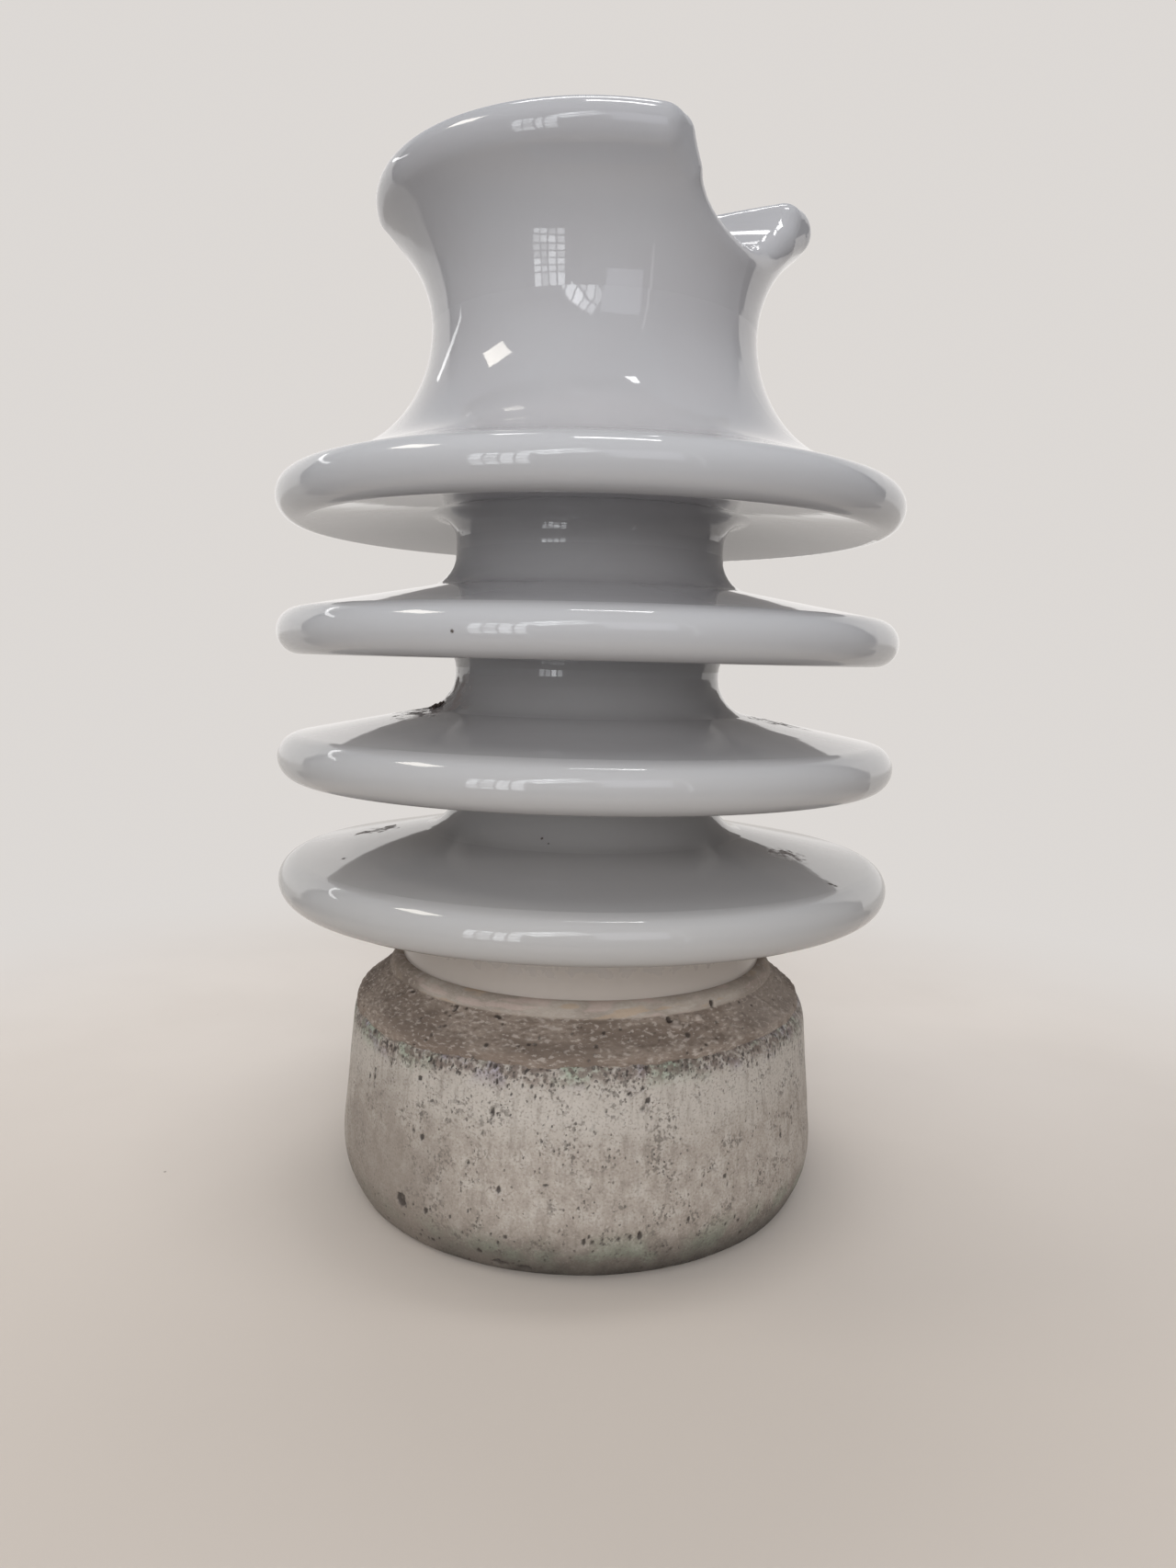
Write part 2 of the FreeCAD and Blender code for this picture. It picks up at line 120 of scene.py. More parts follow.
# %% Build node trees step by step
class Recipe:
    """One node tree. Each step adds a node and returns the output that the next step takes."""

    def __init__(self, tree):
        self.tree = tree
        tree.nodes.clear()

    def step(self, kind, inputs=(), output=0, **settings):
        """A node of a kind, with its settings, and its inputs as pairs of socket and value or link."""
        node = self.tree.nodes.new("ShaderNode" + kind)
        for setting, value in settings.items():
            setattr(node, setting, value)
        for socket, value in inputs:
            if isinstance(value, bpy.types.NodeSocket):
                self.tree.links.new(value, node.inputs[socket])
            elif value is not None:
                node.inputs[socket].default_value = value
        return node.outputs[output] if node.outputs else None

    def place(self, stretch=(1, 1, 1)):
        """Object coordinates in millimetres, squeezed by the stretch along each axis."""
        metres = self.step("TexCoord", output="Object")
        scale = tuple(1 / MM / s for s in stretch)
        return self.step("Mapping", [("Vector", metres), ("Scale", scale)])

    def noise(self, size, detail=2.0, stretch=(1, 1, 1)):
        """Cloudy noise from 0 to 1 whose clouds are about size millimetres across."""
        return self.step("TexNoise", [("Vector", self.place(stretch)), ("Scale", 1 / size),
                                      ("Detail", detail)])

    def cells(self, size, stretch=(1, 1, 1), output="Distance"):
        """Distance to the nearest of many seeds about size millimetres apart, or its chance Color."""
        return self.step("TexVoronoi", [("Vector", self.place(stretch)), ("Scale", 1 / size)], output=output)

    def maths(self, operation, one, two=None, clamp=False):
        """One calculation with numbers or links. When clamped, the answer stays between 0 and 1."""
        return self.step("Math", [(0, one), (1, two)], operation=operation, use_clamp=clamp)

    def between(self, value, low, high, start=0.0, end=1.0):
        """Start below low, end above high, and a smooth change from one to the other."""
        return self.step("MapRange", [("Value", value), ("From Min", low), ("From Max", high),
                                      ("To Min", start), ("To Max", end)],
                         interpolation_type="SMOOTHSTEP")

    def product(self, first, *others):
        """Shares multiplied, so that each can hold the others back."""
        for other in others:
            first = self.maths("MULTIPLY", first, other)
        return first

    def mix(self, amount, one, two):
        """Colour one where the amount is 0 and colour two where it is 1."""
        return self.step("Mix", [(0, amount), (6, one), (7, two)], output=2, data_type="RGBA")

    def cover(self, tint, colour, *shares):
        """A colour laid over the tint as far as the product of the shares."""
        return self.mix(self.product(*shares), tint, colour)

    def sway(self, size, detail, width):
        """Noise that swings to both sides of 0, over the width given."""
        return self.product(self.maths("SUBTRACT", self.noise(size, detail), 0.5), width)

    def height_above_floor(self):
        """Height of the point in millimetres."""
        return self.step("SeparateXYZ", [(0, self.place())], output="Z")

    def from_axis(self):
        """Distance of the point from the insulator's axis, in millimetres."""
        flat = self.step("VectorMath", [(0, self.place()), (1, (1, 1, 0))], operation="MULTIPLY")
        return self.step("VectorMath", [(0, flat)], output="Value", operation="LENGTH")

    def spot(self, bearing, radius, height, reach):
        """1 at a place on the insulator and 0 from about the reach on, in millimetres. The bearing
        is in degrees round the axis from the camera's side, positive to its right."""
        middle = tuple(level(bearing) * radius + Vector((0, 0, height)))
        away = self.step("VectorMath", [(0, self.place()), (1, middle)], output="Value", operation="DISTANCE")
        ragged = self.maths("ADD", away, self.sway(0.4 * reach, 4, 1.3 * reach))
        return self.between(ragged, 0.35 * reach, reach, 1.0, 0.0)

    def spots(self, places):
        """The strongest of several spots."""
        strongest = 0.0
        for place in places:
            strongest = self.maths("MAXIMUM", strongest, self.spot(*place))
        return strongest

    def pepper(self, size, crowd):
        """1 in dark specks up to size millimetres apart. The crowd says which part of them is there."""
        taller = (1, 1, 1.35)
        away = self.maths("ADD", self.cells(size, taller), self.sway(0.5 * size, 2, 0.55))
        near = self.between(away, 0.20, 0.31, 1.0, 0.0)
        luck = self.step("SeparateColor", [(0, self.cells(size, taller, "Color"))])
        return self.product(near, self.maths("GREATER_THAN", self.maths("ADD", luck, crowd), 1.0))

    def mark(self, name):
        """A number that the surface carries at each of its points."""
        return self.step("Attribute", output="Fac", attribute_name=name, attribute_type="GEOMETRY")

    def bump(self, height, strength, depth, below=None):
        """Tilts the surface's normal as if the height, from 0 to 1, were depth millimetres."""
        return self.step("Bump", [("Strength", strength), ("Distance", depth * MM),
                                  ("Height", height), ("Normal", below)])


# %% Make a material from a recipe
def new_material(name, build):
    """A material whose tree is one Principled shader. The build function gets its recipe and
    returns the shader's inputs by name."""
    material = bpy.data.materials.new(name)
    material.use_nodes = True
    recipe = Recipe(material.node_tree)
    shader = recipe.step("BsdfPrincipled", list(build(recipe).items()))
    recipe.step("OutputMaterial", [("Surface", shader)])
    print("%-18s %d nodes" % (name, len(material.node_tree.nodes)))
    return material


def grey(red, green, blue):
    """A colour close to grey, with the fourth number that Blender asks for."""
    return (red, green, blue, 1.0)


# %% [markdown]
# ## Floor and surroundings
#
# A glossy thing shows its surroundings as much as itself. Porcelain in a pale booth has bright
# edges, where it mirrors the white sheet behind it, and a darker middle, where it mirrors the
# room in front. The world below is that booth: pale behind and at the sides, dimmer towards the
# room. The floor is warm near the insulator and melts into the pale backdrop further out.

# %% Make the booth and the floor
BACKDROP = grey(0.72, 0.69, 0.665)
SHEET = grey(1.0, 0.97, 0.945)
ROOM = grey(0.24, 0.24, 0.25)
BESIDE_SHEET = grey(0.07, 0.07, 0.075)
CEILING = grey(0.42, 0.435, 0.46)
ROOM_FLOOR = grey(0.255, 0.245, 0.24)
SHEET_FOOT = grey(0.68, 0.65, 0.62)
# The board's front tone is painted shade: the board is darker towards the camera.
BOARD_FRONT_SHADED = grey(0.585, 0.521, 0.461)
BOARD_BACK = grey(0.735, 0.672, 0.615)
BOARD_CLOUD = grey(0.56, 0.50, 0.44)
BOARD_CRUMB = grey(0.30, 0.26, 0.22)
BOARD_BACK_AT = -150
BOARD_FRONT_AT = 130
BOARD_TO = 170
PALE_FROM = 340
FLOOR_HALF_WIDTH = 0.5
SHEET_FROM = -0.52
SHEET_TO = -0.48
GAP_TO = -0.32
HORIZON = (-0.07, 0.0)
CEILING_EDGE = (0.35, 0.75)


def build_booth(recipe):
    """World light by direction: a white sheet behind the insulator, a dim room in front. The
    camera itself sees the sheet in a quieter tone."""
    direction = recipe.step("TexCoord", output="Generated")
    facing = recipe.step("VectorMath", [(0, direction), (1, tuple(towards_camera))],
                         output="Value", operation="DOT_PRODUCT")
    gap = recipe.mix(recipe.between(facing, SHEET_TO, GAP_TO), BESIDE_SHEET, ROOM)
    room = recipe.mix(recipe.between(facing, SHEET_FROM, SHEET_TO), SHEET, gap)
    upward = recipe.step("SeparateXYZ", [(0, direction)], output="Z")
    foot = recipe.mix(recipe.between(facing, SHEET_FROM, SHEET_TO), SHEET_FOOT, ROOM_FLOOR)
    room = recipe.mix(recipe.between(upward, *HORIZON), foot, room)
    lit = recipe.mix(recipe.between(upward, *CEILING_EDGE), room, CEILING)
    seen = recipe.step("LightPath", output="Is Camera Ray")
    shown = recipe.mix(seen, lit, BACKDROP)
    background = recipe.step("Background", [("Color", shown), ("Strength", 1.0)])
    recipe.step("OutputWorld", [("Surface", background)])


world = bpy.data.worlds.new("booth")
world.use_nodes = True
build_booth(Recipe(world.node_tree))
bpy.context.scene.world = world


def build_floor(recipe):
    """Board near the insulator, darker towards the camera as painted shade, and the booth's own tones far
    from it.
    """
    place = recipe.place()
    ahead = recipe.step("VectorMath", [(0, place), (1, tuple(towards_camera))],
                        output="Value", operation="DOT_PRODUCT")
    distance = recipe.from_axis()
    # Painted shade: the board darkens from behind the insulator towards the camera.
    board = recipe.mix(recipe.between(ahead, BOARD_BACK_AT, BOARD_FRONT_AT), BOARD_BACK, BOARD_FRONT_SHADED)
    board = recipe.cover(board, BOARD_CLOUD, recipe.between(recipe.noise(70, 4), 0.35, 0.7, 0.0, 0.16))
    crumbs = recipe.between(recipe.cells(9.0), 0.03, 0.05, 1.0, 0.0)
    few = recipe.between(recipe.noise(26, 1), 0.66, 0.70)
    board = recipe.cover(board, BOARD_CRUMB, crumbs, few)
    painted = recipe.step("BsdfPrincipled", [("Base Color", board), ("Roughness", 0.75)])
    around = recipe.maths("DIVIDE", ahead, recipe.maths("MAXIMUM", distance, 1.0))
    further = recipe.mix(recipe.between(around, SHEET_FROM, SHEET_TO), SHEET_FOOT, ROOM_FLOOR)
    tone = recipe.mix(recipe.step("LightPath", output="Is Camera Ray"), further, BACKDROP)
    pale = recipe.step("Emission", [("Color", tone), ("Strength", 1.0)])
    far = recipe.between(distance, BOARD_TO, PALE_FROM)
    ground = recipe.step("MixShader", [(0, far), (1, painted), (2, pale)])
    recipe.step("OutputMaterial", [("Surface", ground)])


floor_material = bpy.data.materials.new("painted_board")
floor_material.use_nodes = True
build_floor(Recipe(floor_material.node_tree))
floor_mesh = bpy.data.meshes.new("floor")
half = FLOOR_HALF_WIDTH
floor_mesh.from_pydata([(-half, -half, 0), (half, -half, 0), (half, half, 0), (-half, half, 0)],
                       [], [(0, 1, 2, 3)])
floor_mesh.materials.append(floor_material)
floor = bpy.data.objects.new("floor", floor_mesh)
bpy.context.scene.collection.objects.link(floor)
print("floor", 2 * half, "m wide")

# %% [markdown]
# ## Lamps
#
# Each highlight on the glaze is the picture of a lamp, and its place on the curved surface tells in
# which direction the lamp stands. So the lamps are given by direction: degrees to the right of the
# camera and degrees above the floor, as seen from the insulator. A warm lamp high on the left makes
# the small square on the neck, a strip overhead draws the thin lines along the rims, and two lamps
# with bars across them show as rows of small panes. A pane pattern takes few nodes: a lamp knows
# where on its rectangle a ray starts, and that place can be cut into panes and bars.
# Two broad soft lamps, one beside the camera and one overhead, have no picture in the glaze and
# only give light.

# %% Hang the lamps
MIDDLE = Vector((0, 0, 0.13))
LAMP_DISTANCE = 2.0
DAYLIGHT = (0.94, 0.97, 1.0)
WARM_LIGHT = (1.0, 0.95, 0.86)
COOL_LIGHT = (0.88, 0.90, 1.0)
SOFT_LAMPS = (("front_light", 3, 14, 38, 26, 4.15), ("overhead", 0, 76, 40, 30, 1.4))
DIMMEST_PANE = 0.45
BRIGHTEST_PANE = 1.2
BAR_BLUR = 0.04


def add_lamp(name, right, above, wide, high, brightness, colour=(1, 1, 1), roll=0.0):
    """A rectangular lamp in a direction, as many degrees wide and high as given. A brightness of 1
    is that of white paper in full light. The camera doesn't see the lamp itself."""
    above = math.radians(above)
    back = level(right) * math.cos(above) + Vector((0, 0, math.sin(above)))
    across = level(right + 90)
    turned = Matrix((across, back.cross(across), back)).transposed().to_4x4()
    turned = turned @ Matrix.Rotation(math.radians(roll), 4, "Z")
    lamp = bpy.data.lights.new(name, "AREA")
    lamp.shape = "RECTANGLE"
    lamp.size = 2 * LAMP_DISTANCE * math.tan(math.radians(wide) / 2)
    lamp.size_y = 2 * LAMP_DISTANCE * math.tan(math.radians(high) / 2)
    lamp.energy = brightness * math.pi * lamp.size * lamp.size_y
    lamp.color = colour
    thing = bpy.data.objects.new(name, lamp)
    thing.matrix_world = Matrix.Translation(MIDDLE + back * LAMP_DISTANCE) @ turned
    thing.visible_camera = False
    bpy.context.scene.collection.objects.link(thing)
    return thing


def glaze_bars(thing, columns, rows, bar):
    """Divides a lamp into panes with dark bars between them, and makes some panes dimmer."""
    thing.data.use_nodes = True
    recipe = Recipe(thing.data.node_tree)
    place = recipe.step("NewGeometry", output="Parametric")
    place = recipe.step("VectorMath", [(0, place), (1, (columns, rows, 1))], operation="MULTIPLY")
    in_pane = recipe.step("VectorMath", [(0, place)], operation="FRACTION")
    which = recipe.step("VectorMath", [(0, place)], operation="FLOOR")
    luck = recipe.step("TexWhiteNoise", [("Vector", which)], output="Value")
    shine = recipe.between(luck, 0, 1, DIMMEST_PANE, BRIGHTEST_PANE)
    for axis in ("X", "Y"):
        across = recipe.step("SeparateXYZ", [(0, in_pane)], output=axis)
        from_middle = recipe.maths("ABSOLUTE", recipe.maths("SUBTRACT", across, 0.5))
        clear = recipe.between(from_middle, 0.5 - bar, 0.5 + BAR_BLUR - bar, 1.0, 0.0)
        shine = recipe.product(shine, clear)
    emission = recipe.step("Emission", [("Strength", shine)])
    recipe.step("OutputLight", [("Surface", emission)])


for soft_lamp in SOFT_LAMPS:
    add_lamp(*soft_lamp).visible_glossy = False
add_lamp("warm_pane", -84, 49, 15, 8.5, 7.0, WARM_LIGHT)
add_lamp("rim_strip", 47, 83.2, 17, 5.5, 13.0, roll=-47)
add_lamp("far_strip", -172, 69.5, 24, 5.0, 7.5)
add_lamp("sheet_edge", -121, 29, 30, 1.9, 2.8, roll=-19)
add_lamp("cool_panel", 18, 22, 24, 28, 1.1, COOL_LIGHT)
add_lamp("upright_strip", 36, 17, 1.2, 54, 1.3)
glaze_bars(add_lamp("low_panes", -30, 1, 21, 38, 4.2, DAYLIGHT), 4, 8, 0.12)
glaze_bars(add_lamp("high_panes", -10, 26, 24, 14, 5.5, DAYLIGHT, roll=37), 5, 2, 0.10)

# %% [markdown]
# ## Glazed porcelain
#
# The whole post is one casting of clay, dipped in a sky-grey glaze and fired. The glaze is
# glass: clear, hard and very smooth, over a tint that lies slightly thicker in the hollows and
# thinner over the rims, where the pale clay shows through. Turning the clay leaves faint rings,
# which bend the reflections. Years outdoors have left a few specks, dust on the flat tops of the
# lower sheds, and a beige haze of cement on the collar. The lists give each speck and smear its
# bearing, distance from the axis, height and reach. Below the cement's edge the porcelain is bare.

# %% Glaze the post
GLAZE = grey(0.413, 0.402, 0.409)
GLAZE_THIN = grey(0.44, 0.438, 0.444)
GLAZE_CLOUD = grey(0.435, 0.435, 0.445)
GLAZE_LOW = grey(0.365, 0.345, 0.315)
GLAZE_CROWN_SHADE = grey(0.35, 0.35, 0.365)
BISCUIT = grey(0.62, 0.58, 0.52)
DUST = grey(0.33, 0.275, 0.255)
HAZE = grey(0.40, 0.352, 0.31)
SPECK = grey(0.07, 0.055, 0.045)
GLAZE_LINE = 50.0
RIM_FROM = 61.0
RIM_TO = 72.0
SPECKS = (
    (-19.6, 71.5, 129.0, 0.5), (-61.3, 59.2, 80.5, 0.7), (53.0, 64.7, 79.4, 1.0), (52.9, 65.8, 79.2, 0.7),
    (-14.9, 34.1, 86.7, 0.45), (-12.0, 35.2, 85.8, 0.35),
)
SMEARS = (
    (-64.0, 36.5, 113.2, 13.0), (-82.0, 40.5, 112.0, 8.0), (79.7, 44.1, 111.4, 9.0),
    (-91.0, 50.5, 82.2, 7.0), (66.0, 50.0, 82.0, 6.5),
)


def build_glaze(recipe):
    """Glaze that varies with height and over the rims, with painted shade over the head's crown, then dust,
    haze and specks, then bare clay.
    """
    height = recipe.height_above_floor()
    tint = recipe.mix(recipe.between(recipe.from_axis(), RIM_FROM, RIM_TO, 0.0, 0.8), GLAZE, GLAZE_THIN)
    tint = recipe.cover(tint, GLAZE_CLOUD, recipe.between(recipe.noise(22, 3), 0.35, 0.7, 0.0, 0.35))
    tint = recipe.cover(tint, GLAZE_LOW, recipe.between(height, 62, 150, 0.45, 0.0))
    # Painted shade: the glaze is darker and bluer over the top of the head.
    tint = recipe.cover(tint, GLAZE_CROWN_SHADE, recipe.between(height, 200, 226, 0.0, 0.45))
    blotches = recipe.between(recipe.noise(2.5, 4), 0.40, 0.62)
    dust = recipe.product(recipe.spots(SMEARS), recipe.between(blotches, 0.0, 1.0, 0.15, 0.65))
    tint = recipe.cover(tint, DUST, dust)
    haze = recipe.between(recipe.maths("ADD", height, recipe.product(blotches, 3.0)), 60, 71, 0.85, 0.0)
    tint = recipe.cover(tint, HAZE, haze)
    grit = recipe.spots(SPECKS)
    tint = recipe.cover(tint, SPECK, grit)
    bare = recipe.between(height, GLAZE_LINE - 0.1, GLAZE_LINE + 0.1, 1.0, 0.0)
    covered = recipe.maths("MAXIMUM", bare, recipe.maths("MAXIMUM", recipe.between(dust, 0.0, 0.6), grit))
    rough = recipe.between(haze, 0.0, 0.85, 0.045, 0.28)
    rings = recipe.bump(recipe.noise(2.2, 2, stretch=(14, 14, 1)), 0.10, 0.05)
    return {
        "Base Color": recipe.mix(bare, tint, BISCUIT),
        "Roughness": recipe.maths("MAXIMUM", rough, recipe.product(covered, 0.85)),
        "IOR": 1.58,
        "Normal": recipe.bump(recipe.noise(5.5, 1), 0.18, 0.12, rings),
    }


glaze = new_material("sky_grey_glaze", build_glaze)
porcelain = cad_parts["porcelain_body"]
porcelain.data.materials.clear()
porcelain.data.materials.append(glaze)

# %% [markdown]
# ## Outlines read from the frame
#
# The cup and the cement are turned shapes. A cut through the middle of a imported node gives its
# outline, which can then be carried round the axis again with many more points than the node
# has. That keeps the dense surface exactly where the node is.


# %% Cut a node through its middle
def outline_of(node):
    """The points of radius and height, in millimetres, where the half plane x > 0, y = 0 cuts a
    node. They run out along the underside, up the outside and back in over the top."""
    cut = bmesh.new()
    cut.from_mesh(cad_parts[node].data)
    bmesh.ops.remove_doubles(cut, verts=cut.verts, dist=0.001 * MM)
    for normal, both in (((-1, 0, 0), False), ((0, 1, 0), True)):
        everything = cut.verts[:] + cut.edges[:] + cut.faces[:]
        bmesh.ops.bisect_plane(cut, geom=everything, dist=0.0005 * MM, plane_co=(0, 0, 0),
                               plane_no=normal, clear_outer=True, clear_inner=both)
    ends = [v for v in cut.verts if len(v.link_edges) == 1]
    here = min(ends or cut.verts, key=lambda v: v.co.z)
    walked = [here]
    edge = here.link_edges[0]
    while edge is not None:
        here = edge.other_vert(here)
        if here is walked[0]:
            break
        walked.append(here)
        edge = next((e for e in here.link_edges if e is not edge), None)
    points = np.array([(v.co.x, v.co.z) for v in walked]) / MM
    cut.free()
    ahead = np.roll(points, -1, axis=0)
    turning = np.sum(points[:, 0] * ahead[:, 1] - ahead[:, 0] * points[:, 1])
    return points if turning > 0 else points[::-1]


cup_outline = outline_of("base_cap")
cement_outline = outline_of("cement_joint")
for name, outline in (("base_cap", cup_outline), ("cement_joint", cement_outline)):
    print(name, "outline of", len(outline), "points, from", outline[0], "to", outline[-1])

# %% [markdown]
# ## Rings, rows and seams
#
# A turned surface is a stack of rings. Where something small has to be shown, the rings need many
# points, and inside a cavity a few are enough. So each piece is built of blocks, coarse or fine,
# and a fan of triangles sews a fine ring to a coarse one without leaving a gap.

# %% Walk along an outline and turn it
COARSE = 96
FINE = 768


def stretch(outline, start, end, step=None):
    """The outline from the point nearest start to the point nearest end. With a step, it gets new
    points at equal distances of about that many millimetres."""
    first, last = (int(np.argmin(np.linalg.norm(outline - np.array(p), axis=1))) for p in (start, end))
    piece = np.roll(outline, -first, axis=0)[:(last - first) % len(outline) + 1]
    if step is None:
        return piece
    walked = distances(piece)
    even = np.linspace(0, walked[-1], max(2, round(walked[-1] / step)) + 1)
    return np.stack([np.interp(even, walked, piece[:, axis]) for axis in (0, 1)], axis=1)


def distances(rows):
    """Distance walked along an outline up to each of its points."""
    return np.concatenate([[0], np.cumsum(np.linalg.norm(np.diff(rows, axis=0), axis=1))])


def turn(rows, count):
    """An outline carried round the axis: its points, and the directions out of the material there.
    Both are arrays of rows by angles by x, y, z. With t the direction along the outline and a the
    direction round the axis, the way out is a × t."""
    angle = 2 * math.pi * np.arange(count) / count
    radial = np.stack([np.cos(angle), np.sin(angle), 0 * angle], axis=-1)
    upward = np.array([0.0, 0.0, 1.0])
    along = np.gradient(rows, axis=0)
    along /= np.linalg.norm(along, axis=1, keepdims=True)
    points = rows[:, 0, None, None] * radial + rows[:, 1, None, None] * upward
    outward = along[:, 1, None, None] * radial - along[:, 0, None, None] * upward
    return points, outward


# %% Sew rings into a closed skin
def sew(lower, upper):
    """Faces between two rings of vertex numbers: quads if they are alike, and otherwise a fan of
    triangles round each point of the coarser ring."""
    if len(lower) == len(upper):
        return np.stack([lower, np.roll(lower, -1), np.roll(upper, -1), upper], axis=1).tolist()
    fine, coarse = (upper, lower) if len(upper) > len(lower) else (lower, upper)
    share = len(fine) // len(coarse)
    owner = coarse[((np.arange(len(fine)) + share // 2) // share) % len(coarse)]
    middle = fine[share // 2::share]
    if coarse is lower:
        fan = np.stack([owner, np.roll(fine, -1), fine], axis=1)
        base = np.stack([coarse, np.roll(coarse, -1), middle], axis=1)
    else:
        fan = np.stack([fine, np.roll(fine, -1), owner], axis=1)
        base = np.stack([np.roll(coarse, -1), coarse, middle], axis=1)
    return fan.tolist() + base.tolist()


def closed_surface(blocks, loop=False):
    """Vertices and faces of one closed skin sewn from blocks of rings. A loop joins its last ring
    to its first. Otherwise one vertex on the axis closes the first ring, and one the last."""
    rings = [ring for block in blocks for ring in block]
    starts = np.cumsum([0] + [len(ring) for ring in rings])
    numbers = [np.arange(len(ring)) + start for ring, start in zip(rings, starts)]
    faces = [face for lower, upper in zip(numbers, numbers[1:]) for face in sew(lower, upper)]
    if loop:
        return np.concatenate(rings), faces + sew(numbers[-1], numbers[0])
    poles = [ring.mean(axis=0, keepdims=True) for ring in (rings[0], rings[-1])]
    low, high = starts[-1], starts[-1] + 1
    faces += [(low, after, before) for before, after in zip(numbers[0], np.roll(numbers[0], -1))]
    faces += [(high, before, after) for before, after in zip(numbers[-1], np.roll(numbers[-1], -1))]
    return np.concatenate(rings + poles), faces


print("a ring of 4 points and one of 8 are sewn with", len(sew(np.arange(4), np.arange(4, 12))), "faces")


# %% Make a piece of a skin
def new_piece(name, vertices, faces, material, marks, sharp_from):
    """A smooth shaded object, in metres, with a number at each vertex for each mark."""
    mesh = bpy.data.meshes.new(name)
    mesh.from_pydata(vertices * MM, [], faces)
    mesh.materials.append(material)
    for mark, values in marks.items():
        filled = np.zeros(len(vertices))
        filled[values[0]:values[0] + values[1].size] = values[1].ravel()
        mesh.attributes.new(mark, "FLOAT", "POINT").data.foreach_set("value", filled)
    mesh.shade_smooth()
    mesh.set_sharp_from_angle(angle=math.radians(sharp_from))
    piece = bpy.data.objects.new(name, mesh)
    bpy.context.scene.collection.objects.link(piece)
    mesh.calc_loop_triangles()
    print("%-14s %d triangles" % (name, len(mesh.loop_triangles)))
    return piece


# %% [markdown]
# ## Grain, and hollows that nobody placed
#
# Sand leaves a casting uneven, zinc runs and freezes over it, and gas leaves small round holes.
# Two functions of a point in space are enough for all of that: a smooth grain, and a scatter of
# round hollows of chance size. Both are worked for a whole surface at once, and a seed makes them
# come out the same each time.


# %% Work grain and hollows in space
def chance(corner, seed):
    """A number from 0 to 1 for each corner of a lattice, as if a die had been thrown there once."""
    key = (corner @ np.array([73856093, 19349663, 83492791]) + seed * 1640531527) & 0xFFFFFFFF
    for shift, factor in ((15, 2246822519), (13, 3266489917), (16, 668265263)):
        key = ((key ^ (key >> shift)) * factor) & 0xFFFFFFFF
    return (key >> 8) / 0xFFFFFF


def smooth(value, low, high):
    """0 below low and 1 above high, with the curve 3t² - 2t³ in between."""
    part = np.clip((value - low) / (high - low), 0, 1)
    return part * part * (3 - 2 * part)


def grain(points, size, seed):
    """Smooth noise from -1 to 1: the chance at the eight corners of each lattice cell, blended."""
    at = points / size
    low = np.floor(at).astype(np.int64)
    part = smooth(at - low, 0, 1)
    blended = 0.0
    for corner in np.ndindex(2, 2, 2):
        weight = np.prod(np.where(corner, part, 1 - part), axis=-1)
        blended = blended + weight * chance(low + corner, seed)
    return 2 * blended - 1


def hollows(points, cell, share, seed):
    """Depth from 0 to 1 of round hollows, at most one in each cell of a lattice. A hollow of radius
    r is 1 - (d / r)² deep at a distance d from its middle. The share, a function of a place, says
    which part of the cells has one there, and may be a plain number."""
    at = points / cell
    low = np.floor(at).astype(np.int64)
    deepest = np.zeros(points.shape[:-1])
    for offset in np.ndindex(3, 3, 3):
        corner = low + offset - 1
        middle = corner + np.stack([chance(corner, seed + axis) for axis in (1, 2, 3)], axis=-1)
        radius = 0.21 + 0.24 * chance(corner, seed + 4) ** 2
        there = chance(corner, seed + 5) < (share(middle * cell) if callable(share) else share)
        depth = 1 - np.sum((at - middle) ** 2, axis=-1) / radius ** 2
        deepest = np.maximum(deepest, np.where(there, depth * (0.35 + 1.5 * radius), 0))
    return deepest


def bearing_of(points):
    """Degrees round the axis from the side that faces the camera, positive to its right."""
    turned = np.arctan2(points[..., 1], points[..., 0]) - math.atan2(towards_camera.y, towards_camera.x)
    return np.degrees((turned + math.pi) % (2 * math.pi) - math.pi)


def dent(points, bearing, height, width, tall):
    """1 in the middle of an oval spot on a turned surface and 0 from its ragged edge on."""
    turned = (bearing_of(points) - bearing + 180) % 360 - 180
    across = np.radians(turned) * np.hypot(points[..., 0], points[..., 1])
    reach = (across / (width / 2)) ** 2 + ((points[..., 2] - height) / (tall / 2)) ** 2
    ragged = 0.55 * grain(points, 0.9, 41) + 0.35 * grain(points, 0.55, 42)
    return np.clip((1 - reach) * (0.8 + ragged) + 0.5 * ragged * (reach < 1), 0, 1)


print("grain of a point:", grain(np.array([[1.0, 2.0, 3.0]]), 2.0, 7))

# %% [markdown]
# ## The cast cup
#
# The cup is sand cast in iron, tapped, and dipped in molten zinc. Its blocks run from the end of
# the tapped hole out to the foot, up the outside to the rim, and back down the keyed cavity. Only
# the outside, which is seen from close by, is fine. Relief only goes inwards, so the cup keeps its
# size.

# %% Measure where the cement meets the cup
RIM = (52.67, 45.63)
FOOT = (52.21, 0.0)
cup_side = stretch(cup_outline, FOOT, RIM, 0.46)
side_walked = distances(cup_side)
JOINT_MEAN = 46.2
JOINT_TILT = 1.5
JOINT_HIGHEST_AT = 80.0
JOINT_LIMIT = 47.3


def joint_tilt(points):
    """The slow part of the joint line, high on one side and low on the other."""
    return JOINT_TILT * np.cos(np.radians(bearing_of(points) - JOINT_HIGHEST_AT))


def joint_line(points):
    """How far up the cup's side the cement comes down, as a distance walked from the foot. Whoever
    filled the cup left it lower on one side and wiped it unevenly."""
    flat = points * (1, 1, 0)
    ragged = 0.55 * grain(flat, 6.0, 11) + 0.3 * grain(flat, 1.9, 12)
    return np.minimum(JOINT_MEAN + joint_tilt(points) + ragged, JOINT_LIMIT)


print("the side is %.1f mm long, in %d rows" % (side_walked[-1], len(cup_side)))

